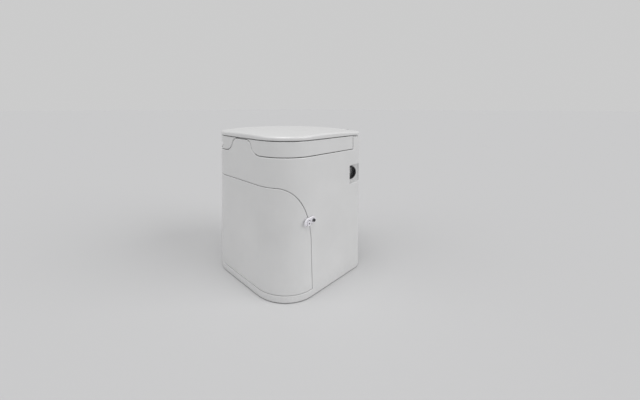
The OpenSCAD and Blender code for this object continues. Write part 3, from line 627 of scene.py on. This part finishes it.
panel_edge = list(reversed(door_edge(-seam / 2)))
door_forms = [moulding([panel_edge + mirrored(panel_edge)], 0, door_t, corner_radius, edge_radius,
                       inner_chamfer)]
for z in rib_heights:
    end = edge_at(-rib_end, z + rib_t)
    rib = [(-end, z), (end, z), (end, z + rib_t), (-end, z + rib_t)]
    door_forms.append(moulding([rib], door_t - rib_sink, door_t + rib_depth, back=flange_chamfer))
for z in door_hinges:
    door_forms.append(hinge_barrel(z - knuckle_len / 2, knuckle_len, -1))
piece("door_panel", door_forms, "front_door")
piece("door_keeper", [eased("latch_keeper", 0.7 * mm, 3)], "latch_keeper")
piece("door_keeper_screw", [eased("keeper_screw", 0.2 * mm)], "keeper_screw")

# ---- Door latch ----
# A polished white crescent hook drops over the keeper. It turns on a shouldered screw, which holds it
# and its spacer to the cabinet beside the door.
piece("latch_spacer", [eased("latch_standoff", 0.3 * mm)], "latch_standoff")
piece("latch_shoulder_screw", [eased("latch_pivot_screw", 0.4 * mm)], "latch_pivot_screw")
piece("latch_crescent", [eased("latch_hook", 1.2 * mm, 4)], "latch_hook")

# ---- Seat unit ----
# Deck and skirt in one moulding: the skirt hangs round the front and sides, with a gap for the
# cabinet's tab, a finger scoop on the left, and the egg-shaped opening with a soft edge on top.
deck_z = 428.4 * mm
deck_t = 3.9 * mm
deck_back = 159.5 * mm
deck_inset = wall + 1.2 * mm
seat_under = deck_z - deck_t
skirt_z = rim_z + seam / 2
seat_r_rear = 100 * mm
seat_r_front = 74 * mm
seat_y_rear = 12 * mm
seat_y_front = -74 * mm
finger_room = 4 * mm
finger_half = tab_half + finger_room
finger_depth = wall + finger_room
scoop_half = Vector((44, 16, 10.5)) * mm
scoop_turn = math.radians(30)
scoop_z = 401 * mm
scoop_out = 4 * mm
bowl_t = 3 * mm
backing_half = 50 * mm
backing_out = 1 * mm
backing_in = 20 * mm
boss_r = 5 * mm
round_sides = 32
rest_room = 3.3 * mm
boss_low = wall_top + rest_room
boss_sink = 1 * mm
rest_x = 163 * mm
rest_y = (-60 * mm, 84 * mm)
rest_spots = [(side * rest_x, y) for side in (-1, 1) for y in rest_y]


def hollow(centre, half, turn):
    """Flattened ball of these half sizes, turned about the upright."""
    form = bmesh.new()
    bmesh.ops.create_uvsphere(form, u_segments=2 * round_sides, v_segments=round_sides, radius=1,
                              matrix=Matrix.LocRotScale(centre, Matrix.Rotation(turn, 3, "Z"), half))
    return form


def post(x, y, low, high, radius):
    form = bmesh.new()
    middle = Matrix.Translation((x, y, (low + high) / 2))
    bmesh.ops.create_cone(form, cap_ends=True, segments=round_sides, radius1=radius, radius2=radius,
                          depth=high - low, matrix=middle)
    return form


skirt_end = side_start + post_y - seam / 2 - corner_y
skirt_flank = [p for p in tab_flank(seam) if p[0] >= finger_half]
skirt_right = ([(skirt_flank[-1][0] + flank_run_out, skirt_z), (skirt_end, skirt_z), (skirt_end, deck_z),
                (finger_half, deck_z)] + skirt_flank[:-1])
skirt = moulding([skirt_right, mirrored(skirt_right)], 0, wall, corner_radius, rim_radius)

scoop_run = front_r - lean * scoop_z + scoop_out
scoop_at = Vector((-front_flat - scoop_run * math.sin(scoop_turn),
                   corner_y - scoop_run * math.cos(scoop_turn), scoop_z))
scoop_u = -front_flat - front_r * scoop_turn
backing_z = skirt_z + 1 * mm
backing = moulding([[(scoop_u - backing_half, backing_z), (scoop_u + backing_half, backing_z),
                     (scoop_u + backing_half, seat_under), (scoop_u - backing_half, seat_under)]],
                   backing_out, backing_in)
bowl_half = scoop_half + Vector((bowl_t, bowl_t, bowl_t))
bowl = combined(backing, hollow(scoop_at, bowl_half, -scoop_turn), "INTERSECT")
bowl = combined(bowl, hollow(scoop_at, scoop_half, -scoop_turn), "DIFFERENCE")
skirt = combined(skirt, hollow(scoop_at, scoop_half, -scoop_turn), "DIFFERENCE")

deck_lap = 2.2 * mm
deck_sink = 0.02 * mm
egg_middle_y = -25 * mm
egg_zone = 130 * mm
deck_runs = [finger_half] + [u for u in strip_lines if finger_half < u < skirt_end] + [skirt_end]
back_runs = [skirt_end] + [u for u in strip_lines if skirt_end < u < half_round
                           and on_body(u, deck_inset, deck_z).y < deck_back]
deck_side = [on_body(u, deck_lap, deck_z).to_2d() for u in deck_runs]
deck_side += [on_body(u, deck_inset, deck_z).to_2d() for u in back_runs]
back_reach = rear_r - deck_inset - lean * deck_z
back_x = rear_x + math.sqrt(back_reach ** 2 - (deck_back - rear_y) ** 2)
notch_y = on_body(0, finger_depth, deck_z).y
egg_lean = math.asin((seat_r_rear - seat_r_front) / (seat_y_rear - seat_y_front))
egg_steps = 26
egg_right = []
for centre, radius, start, stop in ((seat_y_rear, seat_r_rear, math.pi / 2, -egg_lean),
                                    (seat_y_front, seat_r_front, -egg_lean, -math.pi / 2)):
    for k in range(egg_steps + 1):
        a = start + (stop - start) * k / egg_steps
        egg_right.append((radius * math.cos(a) if abs(abs(a) - math.pi / 2) > on_line else 0,
                          centre + radius * math.sin(a)))
deck_right = ([(0, notch_y), (finger_half, notch_y)] + [tuple(p) for p in deck_side]
              + [(back_x, deck_back), (0, deck_back)] + egg_right)
deck_left = [(-x, y) for x, y in reversed(deck_right)]
deck_top = deck_z - deck_sink
deck = flat_sheet([deck_right, deck_left], deck_top, seat_under - deck_top, 2)
egg_rim = [e for e in rim_edges(deck, 2, deck_top)
           if all(Vector((v.co.x, v.co.y - egg_middle_y)).length < egg_zone for v in e.verts)]
round_edges(deck, egg_rim, rim_radius, round_segments)

hinge_x = 100 * mm
hinge_y = 166.2 * mm
hinge_z = 436.4 * mm
knuckle_r = 6 * mm
knuckle_w = 9 * mm
knuckle_gap = 0.5 * mm
knuckle_chamfer = 0.5 * mm
knuckle_steps = 18
seat_knuckle_front = 8 * mm


def hinge_knuckle(side, near, front, low):
    """Moulded knuckle, near to near + its width outwards from the hinge's middle."""
    arc = [(hinge_y + knuckle_r * math.sin(a), hinge_z - knuckle_r * math.cos(a))
           for a in (math.pi * 1.5 * k / knuckle_steps for k in range(knuckle_steps + 1))]
    outline = [(hinge_y - front, low), (hinge_y, low)] + arc + [(hinge_y - front, hinge_z)]
    first = side * (hinge_x + near)
    form = flat_sheet([outline], first, side * knuckle_w, 0)
    for end in (first, first + side * knuckle_w):
        round_edges(form, rim_edges(form, 0, end), knuckle_chamfer, 2)
    return form


seat_forms = [skirt, bowl, deck]
seat_forms += [hinge_knuckle(s, knuckle_gap, seat_knuckle_front, seat_under) for s in (-1, 1)]
seat_forms += [post(x, y, boss_low, seat_under + boss_sink, boss_r) for x, y in rest_spots]
piece("seat_deck", seat_forms, "seat_shell")
piece("bowl_insert", [eased("urine_diverter", 0.9 * mm, 3)], "urine_diverter")
piece("bowl_insert_screws", [eased("diverter_screws", 0.3 * mm)], "diverter_screws")

# ---- Lid ----
# Crowned lid of the cabinet's plastic. Its edge is rounded over the top, its underside is recessed for
# the screwed liner, and two knuckles stand at the rear between cut-outs for the hinge ears.
lid_z = 430.4 * mm
total_h = 450 * mm
lid_over = 1 * mm
crown_r = 2300 * mm
lid_round = 5.5 * mm
lid_under_round = 1.2 * mm
recess_in = 9 * mm
recess_h = 6 * mm
recess_chamfer = 0.4 * mm
recess_back = 150 * mm
lid_shrink = lean * lid_z - lid_over
ear_t = 7 * mm
hinge_half = knuckle_gap + knuckle_w + knuckle_gap + ear_t
notch_front = 8.7 * mm
knuckle_room = 0.1 * mm
ear_room_near = 1.2 * mm
ear_room_far = 2.2 * mm
lid_knuckle_front = 12 * mm
front_parts = 5
corner_parts = 20
side_parts = 12
rear_corner_parts = 14
back_parts = 8
under_parts = 3
over_parts = 8
crown_shares = (0.97, 0.9, 0.78, 0.62, 0.45, 0.28, 0.13, 0)


def lid_loop():
    """Points round the lid's edge with the way out at each, from the middle of the front."""
    fr, rr = front_r - lid_shrink, rear_r - lid_shrink
    side_x = base_w / 2 - lid_shrink
    points = [((front_flat * k / front_parts, corner_y - fr), (0, -1)) for k in range(front_parts)]
    for k in range(corner_parts + 1):
        a = math.pi / 2 * k / corner_parts
        s, c = math.sin(a), math.cos(a)
        points.append(((front_flat + fr * s, corner_y - fr * c), (s, -c)))
    points += [((side_x, corner_y + (rear_y - corner_y) * k / side_parts), (1, 0))
               for k in range(1, side_parts)]
    for k in range(rear_corner_parts + 1):
        a = math.pi / 2 * k / rear_corner_parts
        s, c = math.sin(a), math.cos(a)
        points.append(((rear_x + rr * c, rear_y + rr * s), (c, s)))
    points += [((rear_x * (1 - k / back_parts), rear_y + rr), (0, 1))
               for k in range(1, back_parts + 1)]
    rest = [((-x, y), (-i, j)) for (x, y), (i, j) in reversed(points[1:-1])]
    return points + rest + points[:1]


def crown(x, y):
    """Height of the lid's crowned top."""
    return total_h - crown_r + math.sqrt(crown_r ** 2 - x * x - y * y)


def woven(across, along, place):
    """Closed skin: a grid whose points go where place puts them."""
    form = bmesh.new()
    bmesh.ops.create_grid(form, x_segments=across, y_segments=along, size=1)
    for v in form.verts:
        v.co = place(round((v.co.x + 1) / 2 * across), round((v.co.y + 1) / 2 * along))
    bmesh.ops.remove_doubles(form, verts=form.verts, dist=touching)
    bmesh.ops.recalc_face_normals(form, faces=form.faces)
    return form


# Each row holds the distance in from the edge, the share of the way out, and either the height over
# the underside or the drop below the crown.
edge_rows = [(recess_in, share, recess_h, None) for share in (0, 0.5, 1)]
edge_rows += [(recess_in, 1, recess_chamfer, None), (recess_in - recess_chamfer, 1, 0, None)]
for k in range(under_parts + 1):
    a = math.pi / 2 * k / under_parts
    edge_rows.append((lid_under_round * (1 - math.sin(a)), 1, lid_under_round * (1 - math.cos(a)), None))
for k in range(over_parts + 1):
    a = math.pi / 2 * k / over_parts
    edge_rows.append((lid_round * (1 - math.cos(a)), 1, None, lid_round * (1 - math.sin(a))))
edge_rows += [(lid_round, share, None, 0) for share in crown_shares]
edge_points = lid_loop()


def lid_place(i, j):
    """Where point i round the edge lies on row j."""
    (x, y), (out_x, out_y) = edge_points[i]
    inset, share, up, drop = edge_rows[j]
    x, y = (x - out_x * inset) * share, (y - out_y * inset) * share
    if up is not None:
        if inset >= recess_in - recess_chamfer:
            y = min(y, recess_back)
        return Vector((x, y, lid_z + up))
    return Vector((x, y, crown(x, y) - drop))


def block(low, high):
    form = bmesh.new()
    low, high = Vector(low), Vector(high)
    bmesh.ops.create_cube(form, size=1, matrix=Matrix.LocRotScale((low + high) / 2, None, high - low))
    return form


lid_form = woven(len(edge_points) - 1, len(edge_rows) - 1, lid_place)
ear_gaps = ((-hinge_half - ear_room_near, -knuckle_gap - knuckle_w - knuckle_room),
            (-knuckle_gap + knuckle_room, hinge_half + ear_room_far))
cut_low = lid_z - 1 * mm
cut_high = lid_z + 40 * mm
cut_back = hinge_y + 30 * mm
for side in (-1, 1):
    for near, far in ear_gaps:
        x0, x1 = sorted((side * (hinge_x + near), side * (hinge_x + far)))
        cut = block((x0, hinge_y - notch_front, cut_low), (x1, cut_back, cut_high))
        lid_form = combined(lid_form, cut, "DIFFERENCE")
lid_forms = [lid_form]
lid_forms += [hinge_knuckle(s, -knuckle_gap - knuckle_w, lid_knuckle_front, lid_z) for s in (-1, 1)]
piece("lid_cover", lid_forms, "lid_panel")
piece("lid_inner_cover", [eased("lid_liner", 0.6 * mm)], "lid_liner")
piece("lid_inner_cover_screws", [eased("liner_screws", 0.3 * mm)], "liner_screws")
piece("lid_rests", [eased("lid_buffers", 0.5 * mm)], "lid_buffers")

# ---- Solids bin ----
# Tapered bucket of dark grey plastic with a lip round its rim and two ears, which a wire bail turns
# in. The bail has a black grip.
piece("solids_bucket", [eased("solids_bin", 0.9 * mm, 3)], "solids_bin")
piece("bucket_bail", [eased("bin_handle", 0.2 * mm)], "bin_handle")
piece("bail_grip", [eased("handle_grip", 0.6 * mm)], "handle_grip")

# ---- Urine bottle ----
# Blow-moulded bottle of natural plastic with a neck and a strap handle. A dark drip funnel is pushed
# on to its neck.
piece("liquid_bottle", [eased("urine_bottle", 1.0 * mm, 3)], "urine_bottle")
piece("drip_funnel", [eased("bottle_funnel", 0.4 * mm)], "bottle_funnel")
